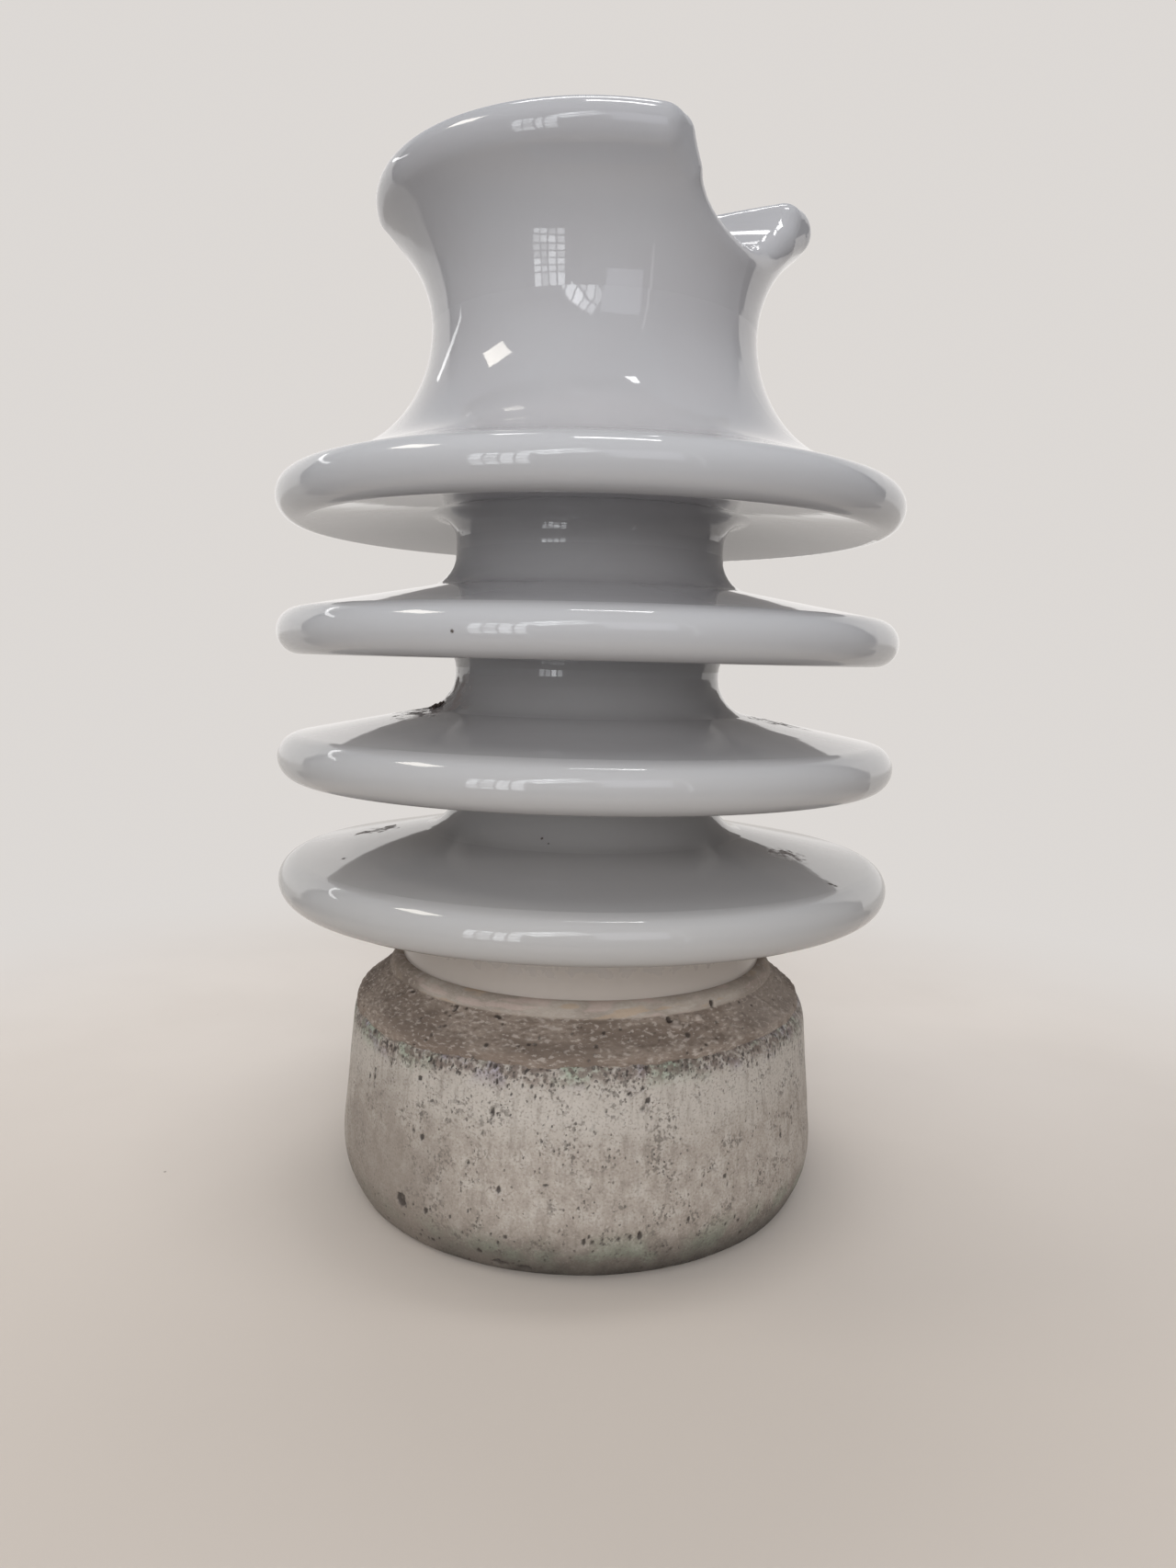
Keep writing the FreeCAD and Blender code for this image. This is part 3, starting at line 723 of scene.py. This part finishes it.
# %% Cut the thread
PITCH = 2.54
THREAD_RADIUS = 9.525
BORE_RADIUS = 8.38
BORE_END = 19.0
MOUTH = 1.4
RUN_OUT = 2.2
THREAD_STEP = 0.25


def threaded_bore():
    """Rings of a hole with a 60 degree thread, from its end down to its mouth. Along a line down the
    wall the thread is a zigzag with flats, and its phase moves on by one turn per pitch."""
    rows = np.linspace(BORE_END, 0, round(BORE_END / THREAD_STEP) + 1)
    angle = 2 * math.pi * np.arange(COARSE) / COARSE
    phase = (rows[:, None] / PITCH - angle / (2 * math.pi)) % 1.0
    zigzag = np.clip(1.35 * np.abs(2 * phase - 1) - 0.22, 0, 1)
    cut_in = smooth(BORE_END - rows, 1.0, 1.0 + RUN_OUT)[:, None]
    radius = BORE_RADIUS + (THREAD_RADIUS - BORE_RADIUS) * zigzag * cut_in
    radius = np.maximum(radius, BORE_RADIUS + MOUTH - rows[:, None])
    height = np.broadcast_to(rows[:, None], radius.shape)
    return np.stack([radius * np.cos(angle), radius * np.sin(angle), height], axis=-1)


bore = threaded_bore()
print("thread of %.1f turns" % ((BORE_END - MOUTH) / PITCH))

# %% [markdown]
# The side has three kinds of relief. There is the slow waviness of the sand mould under a finer
# skin of zinc. There are pits of chance size, crowded in the last few millimetres below the cement
# and again near the foot, where the casting was poorest. And there are a few marks with a place of
# their own: a round blow hole low on the left, chips in the foot's edge, and short scratches. Each
# has a bearing and a height, and is as wide, as tall and as deep as the list says.

# %% Give the side its relief
CUP_MARKS = (
    (-40.3, 10.7, 2.6, 3.4, 0.7), (-33.0, 10.5, 1.1, 2.0, 0.45), (-15.8, 2.3, 3.6, 1.6, 0.7),
    (-10.4, 1.8, 3.2, 1.5, 0.8), (-37.5, 26.8, 1.2, 1.9, 0.5), (-35.0, 25.6, 0.9, 1.3, 0.35),
    (13.8, 36.6, 1.1, 2.8, 0.45), (15.0, 37.6, 0.9, 1.6, 0.35), (11.0, 38.9, 1.4, 0.9, 0.35),
    (-53.5, 33.1, 0.8, 4.2, 0.35), (-36.8, 37.6, 1.0, 1.0, 0.4), (-17.8, 33.9, 1.0, 2.6, 0.35),
    (-22.8, 22.3, 0.9, 2.4, 0.35), (-6.0, 20.8, 1.2, 0.9, 0.4), (-15.8, 18.9, 1.0, 1.4, 0.35),
    (2.0, 9.6, 0.9, 1.8, 0.45), (3.7, 9.5, 0.9, 1.7, 0.45), (5.5, 9.6, 0.9, 1.6, 0.4),
    (9.2, 9.9, 1.2, 1.5, 0.4), (11.4, 10.1, 0.9, 1.2, 0.35), (13.5, 10.2, 1.2, 2.2, 0.5),
    (-20.5, 4.4, 1.2, 0.9, 0.4), (52.8, 23.5, 0.7, 3.0, 0.3), (24.0, 12.4, 0.8, 1.8, 0.3),
    (135.0, 9.0, 2.2, 2.9, 0.6), (-160.0, 31.0, 1.3, 2.4, 0.45), (95.0, 2.2, 3.2, 1.4, 0.7),
    (-118.0, 18.0, 1.2, 1.8, 0.45), (168.0, 24.0, 1.0, 2.0, 0.4),
)
MARK_SPREAD = 1.3
STREAKED = (1.0, 1.0, 0.55)
WIDE_PITS = 1.15
SMALL_PITS = 0.85
PIT_DEPTH = 0.36


def crowd(points):
    """The part of the lattice cells with a pit: most near the joint, many near the foot."""
    near_joint = smooth(points[..., 2] / STREAKED[2] - joint_tilt(points), 37.0, 42.0)
    near_foot = 1 - smooth(points[..., 2] / STREAKED[2], 6.0, 15.0)
    patch = smooth(grain(points, 11.0, 21), -0.1, 0.6)
    return 0.01 + 0.90 * near_joint + 0.20 * near_foot + 0.11 * patch


points, outward = turn(cup_side, FINE)
walked = side_walked[:, None]
below_joint = joint_line(points) - walked
pitted = hollows(points * STREAKED, WIDE_PITS, crowd, 31)
pitted = np.maximum(pitted, 0.9 * hollows(points * STREAKED, SMALL_PITS, crowd, 51))
marked = np.zeros(pitted.shape)
marked_depth = np.zeros(pitted.shape)
for bearing, height, width, tall, depth in CUP_MARKS:
    spot = dent(points, bearing, height, MARK_SPREAD * width, MARK_SPREAD * tall)
    marked = np.maximum(marked, spot)
    marked_depth = np.maximum(marked_depth, spot * depth)
mould = 0.10 + 0.05 * grain(points, 8.0, 22) + 0.05 * grain(points, 3.2, 23)
skin = 0.022 * grain(points * (1, 1, 0.7), 1.1, 24)
joint_gap = 0.22 * (1 - smooth(np.abs(below_joint - 0.2), 0.1, 0.7))
depth = np.clip(mould + skin, 0, 1) + PIT_DEPTH * pitted + marked_depth + joint_gap
foot_fade = smooth(walked, 0.0, 0.9)
side = points - outward * (depth * foot_fade)[..., None]
print("deepest pit %.2f mm, on average %.3f mm" % (depth.max(), depth.mean()))

# %% [markdown]
# ## Zinc that has stood outdoors
#
# Fresh zinc shines. Old zinc is dull and only partly metallic, a warm grey mottled with paler
# carbonate, and stained green and violet where wet cement has touched it. Dirt fills each pit, so
# the shader darkens the same hollows that the relief cut, and adds specks too small for it.

# %% Mix the old zinc
ZINC = grey(0.40, 0.352, 0.305)
ZINC_PALE = grey(0.53, 0.49, 0.44)
ZINC_DULL = grey(0.25, 0.213, 0.18)
ZINC_GREEN = grey(0.325, 0.385, 0.295)
ZINC_VIOLET = grey(0.32, 0.285, 0.34)
ZINC_DARK_AND_FOOT_SHADE = grey(0.105, 0.092, 0.078)
ZINC_FOOT_SHADOW = grey(0.045, 0.038, 0.032)
DIRT = grey(0.040, 0.031, 0.026)
BROWN = grey(0.16, 0.12, 0.098)
LOW_LEFT_SHADE = (-50, 54, 6, 34)


def build_zinc(recipe):
    """Dull zinc with a painted highlight round its upper band, its runs and stains, then dark specks, painted
    shade towards the foot and low on the left, and dirt in each pit.
    """
    height = recipe.height_above_floor()
    near_joint = recipe.mark("near_joint")
    clouds = recipe.noise(3.4, 8)
    tint = recipe.mix(recipe.between(clouds, 0.45, 0.68, 0.0, 0.6), ZINC, ZINC_PALE)
    tint = recipe.cover(tint, ZINC_DULL, recipe.between(clouds, 0.30, 0.47, 0.45, 0.0))
    # Painted highlight: a paler band round the upper part of the cup, kept off the stained joint.
    painted_upper_highlight = recipe.between(height, 26, 35, 0.0, 0.75)
    tint = recipe.cover(tint, ZINC_PALE, painted_upper_highlight, recipe.maths("SUBTRACT", 1.0, near_joint))
    # Painted shade: the zinc grows darker towards the foot.
    tint = recipe.cover(tint, ZINC_DULL, recipe.between(height, 2, 19, 0.75, 0.0))
    runs = recipe.noise(1.2, 4, stretch=(1, 1, 7))
    tint = recipe.cover(tint, ZINC_DULL, recipe.between(runs, 0.48, 0.76, 0.0, 0.5))
    stained = recipe.maths("ADD", near_joint, recipe.between(height, 4.0, 13.0, 0.9, 0.0), clamp=True)
    green = recipe.between(recipe.noise(9.0, 4), 0.46, 0.62, 0.0, 0.9)
    tint = recipe.cover(tint, ZINC_GREEN, green, stained)
    blooms = recipe.between(recipe.noise(5.5, 4, stretch=(1.3, 1.3, 0.8)), 0.52, 0.64, 0.0, 0.85)
    tint = recipe.cover(tint, ZINC_VIOLET, blooms, near_joint)
    grit = recipe.noise(0.5, 4)
    tint = recipe.cover(tint, ZINC_DULL, recipe.between(grit, 0.50, 0.72, 0.0, 0.65))
    tint = recipe.cover(tint, ZINC_PALE, recipe.between(grit, 0.28, 0.44, 0.45, 0.0))
    brown = recipe.between(recipe.noise(1.3, 5), 0.40, 0.58, 0.0, 0.8)
    tint = recipe.cover(tint, BROWN, recipe.between(near_joint, 0.2, 0.8), brown)
    worn = recipe.between(recipe.noise(6.0, 5), 0.49, 0.64)
    tint = recipe.cover(tint, ZINC_DARK_AND_FOOT_SHADE, worn, recipe.between(recipe.noise(1.0, 6), 0.50, 0.60, 0.0, 0.55))
    crowd = recipe.maths("ADD", recipe.product(worn, 0.55), recipe.product(near_joint, 1.4))
    fine_specks = recipe.pepper(0.8, recipe.maths("ADD", crowd, 0.06))
    specks = recipe.maths("MAXIMUM", fine_specks, recipe.pepper(1.4, recipe.product(crowd, 0.7)))
    tint = recipe.cover(tint, DIRT, specks, recipe.between(grit, 0.25, 0.6, 0.95, 0.5))
    # Painted shadow: the cup darkens towards its foot and turns nearly black where it stands on the floor.
    edge = recipe.maths("ADD", height, recipe.product(clouds, 6.0))
    tint = recipe.cover(tint, ZINC_DARK_AND_FOOT_SHADE, recipe.between(edge, 4.5, 15.5, 0.95, 0.0))
    tint = recipe.cover(tint, ZINC_FOOT_SHADOW, recipe.between(edge, 2.0, 6.5, 0.9, 0.0))
    # Painted shade: the cup is darker low on its left side.
    tint = recipe.cover(tint, ZINC_DULL, recipe.spot(*LOW_LEFT_SHADE), 0.65)
    pit = recipe.mark("pit")
    tint = recipe.cover(tint, DIRT, recipe.between(pit, 0.08, 0.60, 0.0, 0.92))
    dull = recipe.maths("MAXIMUM", pit, specks)
    relief = recipe.bump(grit, 0.5, 0.07, recipe.bump(recipe.maths("SUBTRACT", 1.0, specks), 0.8, 0.15))
    return {
        "Base Color": tint,
        "Metallic": recipe.between(dull, 0.1, 0.6, 0.25, 0.0),
        "Roughness": recipe.between(grit, 0.3, 0.7, 0.46, 0.66),
        "Normal": relief,
    }


zinc = new_material("galvanised_iron", build_zinc)

# %% Sew the cup together
under_the_cup = np.array([(30.0, 0.0), (51.0, 0.0)])
cavity_rows = stretch(cup_outline, (50.14, 44.63), (19.7, 22.0))
cup_blocks = [bore, turn(under_the_cup, COARSE)[0], side, turn(cavity_rows, COARSE)[0]]
side_starts = sum(block.shape[0] * block.shape[1] for block in cup_blocks[:2])
cup_vertices, cup_faces = closed_surface(cup_blocks)
near_joint = smooth(-below_joint, -6.5, -0.3)
cup_marks = {"pit": (side_starts, np.maximum(pitted, marked)), "near_joint": (side_starts, near_joint)}
cup = new_piece("cast_cup", cup_vertices, cup_faces, zinc, cup_marks, 50)
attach(cup, "root")
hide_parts("base_cap")

# %% [markdown]
# ## The cement
#
# Portland cement is poured round the grip while the post hangs in the cup, and what wells up is
# wiped off with a wet finger. That leaves a rough slope with small stones in it, a thin smear over
# the cup's shoulder, and a smoother bead against the glaze. The smear is a layer laid on the cup's
# outline that thins out at the joint line and dives under the zinc beyond it. Its marks are listed
# like the cup's, and a stone is a mark whose depth is below 0.

# %% Lay the cement
SLOPE_FOOT = 50.74
BEAD_TOP = (43.0, 54.53)
BURIED = 0.45
SMEAR = 0.40
STEP = 0.23
shoulder = stretch(cup_outline, (54.61, 40.71), RIM)
over_the_top = np.concatenate([shoulder, stretch(cement_outline, RIM, BEAD_TOP)[1:]])
cement_rows = stretch(over_the_top, over_the_top[0], over_the_top[-1], STEP)
cement_walked = (distances(cement_rows) + side_walked[-1] - distances(shoulder)[-1])[:, None]
points, outward = turn(cement_rows, FINE)
above_joint = cement_walked - joint_line(points)
layer = SMEAR * smooth(above_joint, 0.0, 1.5)
layer = layer * (1 - 0.7 * smooth(cement_walked, side_walked[-1], SLOPE_FOOT))
layer = layer - BURIED * smooth(-above_joint, 0.0, 0.45)
print("the smear is up to %.2f mm thick, in %d rows" % (layer.max(), len(cement_rows)))

# %% Roughen the cement
BEAD_FOOT = 56.58
BEAD_LINES = (57.4, 58.3)
WIDE_HOLES = (2.1, 0.14)
SMALL_HOLES = (1.2, 0.22)
CEMENT_MARKS = (
    (38.0, 52.3, 1.7, 1.9, 1.3), (23.5, 50.8, 1.5, 1.4, 0.7), (-34.0, 51.0, 1.5, 1.1, 0.6),
    (24.8, 49.9, 3.6, 2.0, -0.55), (32.0, 50.4, 2.4, 1.6, -0.45), (-21.0, 50.9, 2.2, 1.0, 0.45),
    (-9.0, 48.6, 1.3, 1.0, 0.4), (6.0, 49.5, 1.0, 1.0, 0.35), (150.0, 50.5, 1.8, 1.5, 0.7),
    (-120.0, 49.5, 3.0, 1.8, -0.5), (100.0, 51.2, 1.4, 1.1, 0.6),
)
on_bead = smooth(cement_walked, BEAD_FOOT - 0.2, BEAD_FOOT + 0.5)
rubble = 0.17 * grain(points, 2.6, 61) + 0.15 * grain(points, 1.2, 62) + 0.09 * grain(points, 0.62, 63)
flat = points * (1, 1, 0)
up_slope = np.broadcast_to(cement_walked, points.shape[:2])[..., None]
wiped = grain(np.concatenate([flat[..., :2] / 7.0, up_slope / 0.8], axis=-1), 1.0, 64)
holes = np.maximum(hollows(points, *WIDE_HOLES, 71), hollows(points, *SMALL_HOLES, 81))
lift = (1 - 0.75 * on_bead) * (rubble + 0.08 * wiped - 0.40 * holes)
cracks = 0.0
for line in BEAD_LINES:
    wander = 0.28 * grain(flat, 7.0, 65 + int(10 * line)) + 0.1 * grain(flat, 1.6, 66)
    cracks = np.maximum(cracks, np.exp(-((cement_walked - line - wander) / 0.17) ** 2) * 0.35)
foot_crack = np.exp(-((cement_walked - BEAD_FOOT - 0.15 * grain(flat, 3.0, 67)) / 0.26) ** 2)
cracks = np.maximum(cracks, 0.6 * foot_crack * smooth(grain(flat, 5.0, 68), -0.4, 0.5))
lift = lift - 0.26 * cracks * smooth(grain(flat, 4.0, 69), -0.7, 0.4)
spots = np.zeros(lift.shape)
stones = np.zeros(lift.shape)
for bearing, height, width, tall, depth in CEMENT_MARKS:
    spot = dent(points, bearing, height, width, tall)
    lift = lift - spot * depth
    spots = np.maximum(spots, spot * (depth > 0))
    stones = np.maximum(stones, spot * (depth < 0))
lift = lift * smooth(cement_walked[-1] - cement_walked, 0.0, 0.6) * smooth(above_joint, -0.2, 0.5) + layer
cement_top = points + outward * lift[..., None]
print("cement lifted by %.2f to %.2f mm" % (lift.min(), lift.max()))

# %% [markdown]
# Cement is ground limestone and clay with sand in it, so its colour is never even. The slope here
# is brown with pale grains and dark hollows. The bead is finer and paler, with an ochre line where
# rust has bled into it and a pinkish bloom beside that, and its pale colour fades out at its left and
# right, as seen from the camera. The slope is painted a little paler at the right, a painted pool of light.

# %% Mix the cement
CEMENT = grey(0.255, 0.206, 0.168)
CEMENT_DARK = grey(0.17, 0.132, 0.106)
CEMENT_PALE = grey(0.38, 0.33, 0.287)
BEAD = grey(0.42, 0.375, 0.325)
BEAD_DULL = grey(0.325, 0.283, 0.242)
OCHRE = grey(0.40, 0.30, 0.21)
PINK = grey(0.48, 0.37, 0.33)
RUST = grey(0.19, 0.145, 0.115)
STONE = grey(0.42, 0.365, 0.32)
HOLE = grey(0.045, 0.035, 0.03)
ROUND_THE_SLOPE = (2.2, 2.2, 0.8)
PAINTED_LIGHT_RIGHT = (66, 48, 51, 34)
BEAD_FADES_AT_SIDES = ((-82, 44, 54, 36), (88, 44, 54, 30))


def build_cement(recipe):
    """Brown paste with pale grains and painted light at its right, a stained bead that fades out at the
    sides, a rusty edge, stones, and dirt in the holes.
    """
    clouds = recipe.noise(5.0, 5, ROUND_THE_SLOPE)
    tint = recipe.mix(recipe.between(clouds, 0.40, 0.62), CEMENT, CEMENT_DARK)
    grains = recipe.noise(0.6, 5, ROUND_THE_SLOPE)
    tint = recipe.cover(tint, CEMENT_PALE, recipe.between(grains, 0.53, 0.64, 0.0, 0.8))
    tint = recipe.cover(tint, CEMENT_DARK, recipe.between(grains, 0.34, 0.46, 0.8, 0.0))
    # Painted light: the slope is a little paler at its right.
    tint = recipe.cover(tint, CEMENT_PALE, recipe.spot(*PAINTED_LIGHT_RIGHT), 0.35)
    # The bead's pale colour fades out at its left and right, as seen from the camera.
    bead = recipe.product(recipe.mark("bead"), recipe.between(recipe.spots(BEAD_FADES_AT_SIDES), 0.0, 1.0, 1.0, 0.2))
    pale = recipe.mix(recipe.between(clouds, 0.35, 0.65), BEAD, BEAD_DULL)
    tint = recipe.cover(tint, pale, bead, recipe.between(grains, 0.35, 0.65, 0.95, 0.6))
    stain = recipe.noise(6.0, 2, stretch=(1.5, 1.5, 0.3))
    tint = recipe.cover(tint, OCHRE, bead, recipe.between(stain, 0.56, 0.66, 0.0, 0.6))
    tint = recipe.cover(tint, PINK, bead, recipe.between(stain, 0.34, 0.44, 0.45, 0.0))
    rusty = recipe.between(recipe.noise(4.0, 3), 0.45, 0.6, 0.0, 0.6)
    tint = recipe.cover(tint, RUST, recipe.mark("edge"), rusty)
    tint = recipe.cover(tint, STONE, recipe.between(recipe.mark("stone"), 0.2, 0.8, 0.0, 0.5))
    tint = recipe.cover(tint, HOLE, recipe.between(recipe.mark("pit"), 0.10, 0.60, 0.0, 0.9))
    return {
        "Base Color": tint,
        "Roughness": 0.93,
        "Specular IOR Level": 0.3,
        "Normal": recipe.bump(grains, 0.6, 0.10, recipe.bump(recipe.noise(0.35, 2), 0.5, 0.05)),
    }


cement_material = new_material("portland_cement", build_cement)

# %% Sew the cement together
outer_wall = stretch(cement_outline, (47.6, 24.0), (50.14, 44.63))
inner_wall = np.concatenate([[(43.0, 53.6)], stretch(cement_outline, (43.0, 50.03), (45.6, 22.0))])
cement_blocks = [turn(outer_wall, COARSE)[0], cement_top, turn(inner_wall, COARSE)[0]]
top_starts = cement_blocks[0].shape[0] * COARSE
cement_vertices, cement_faces = closed_surface(cement_blocks, loop=True)
dirty = np.maximum(np.maximum(0.7 * holes * (1 - 0.7 * on_bead), spots), 0.45 * cracks)
cement_marks = {
    "pit": (top_starts, dirty),
    "bead": (top_starts, on_bead + 0 * lift),
    "stone": (top_starts, stones),
    "edge": (top_starts, 1 - smooth(above_joint, 0.4, 2.6)),
}
cement = new_piece("cement_fill", cement_vertices, cement_faces, cement_material, cement_marks, 60)
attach(cement, "root")
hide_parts("cement_joint")

# %% [markdown]
# ## A heap of grit
#
# Where the third shed runs into the shank, wind and rain have left a few crumbs of dirt. They break
# the clean outline, so they are modelled and not painted. A crumb is a small ball whose surface
# is then bent by grain, and no two are bent alike. The list gives their bearings, their distances
# from the axis and their radii.

# %% Heap up the crumbs
CRUMBS = (
    (-70.0, 37.8, 0.32), (-69.3, 37.2, 0.46), (-70.7, 36.7, 0.60), (-71.4, 36.1, 0.55), (-69.5, 35.7, 0.44),
    (-70.9, 35.2, 0.46), (-70.1, 34.7, 0.30), (-72.6, 36.4, 0.32), (-67.0, 37.6, 0.28), (-68.0, 36.2, 0.34),
)
DROPPED_FROM = 125.0
CRUMB_RINGS = 13
CRUMB_COUNT = 16
STEEPEST = 82
PRESSED = 0.8
CRUMB_LIFT = 0.7
GRIT = grey(0.05, 0.04, 0.035)
GRIT_PALE = grey(0.14, 0.10, 0.085)


def crumb(bearing, radius, size, seed):
    """Vertices and faces of one crumb: rings of a pressed sphere, each point moved out or in by
    grain. It falls on the third shed and lies where a straight line down meets the glaze."""
    upward = np.radians(np.linspace(-STEEPEST, STEEPEST, CRUMB_RINGS))
    ball = turn(np.stack([np.cos(upward), np.sin(upward)], axis=1), CRUMB_COUNT)[0]
    bent = 0.45 * grain(ball + seed, 0.9, 91) + 0.2 * grain(ball + seed, 0.4, 92)
    start = level(bearing) * radius + Vector((0, 0, DROPPED_FROM))
    _, place, slope, _ = porcelain.ray_cast(start * MM, Vector((0, 0, -1)))
    vertices, faces = closed_surface([ball * (1 + bent[..., None]) * (1, 1, PRESSED)])
    return vertices * size + np.array(place / MM + slope * (CRUMB_LIFT * size)), faces


def build_grit(recipe):
    """Black grit with paler grains in it."""
    return {
        "Base Color": recipe.mix(recipe.between(recipe.noise(0.4, 3), 0.4, 0.65), GRIT, GRIT_PALE),
        "Roughness": 0.95,
        "Normal": recipe.bump(recipe.noise(0.2, 3), 0.5, 0.05),
    }


grit = new_material("dark_grit", build_grit)
bpy.context.view_layer.update()
heap_vertices, heap_faces = [], []
for number, (bearing, radius, crumb_size) in enumerate(CRUMBS):
    vertices, faces = crumb(bearing, radius, crumb_size, 3.7 * number)
    shift = sum(len(block) for block in heap_vertices)
    heap_faces += [tuple(corner + shift for corner in face) for face in faces]
    heap_vertices.append(vertices)
heap = new_piece("grit_heap", np.concatenate(heap_vertices), heap_faces, grit, {}, 60)
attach(heap, "root")

# %% [markdown]
# ## The rubber disc
#
# Between the porcelain and the cup's floor lies a thin disc of rubber, so that glass never bears on
# iron. Nobody sees it once the cement is in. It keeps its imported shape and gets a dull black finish
# with a trace of grey dust.

# %% Colour the rubber
RUBBER = grey(0.022, 0.021, 0.020)
RUBBER_DUST = grey(0.11, 0.105, 0.10)


def build_rubber(recipe):
    """Dull black with dust in soft patches."""
    dust = recipe.between(recipe.noise(3.0, 4), 0.5, 0.75, 0.0, 0.35)
    return {
        "Base Color": recipe.mix(dust, RUBBER, RUBBER_DUST),
        "Roughness": 0.82,
        "Normal": recipe.bump(recipe.noise(0.8, 2), 0.3, 0.08),
    }


rubber = new_material("cushion_rubber", build_rubber)
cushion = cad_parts["end_cushion"]
cushion.data.materials.clear()
cushion.data.materials.append(rubber)
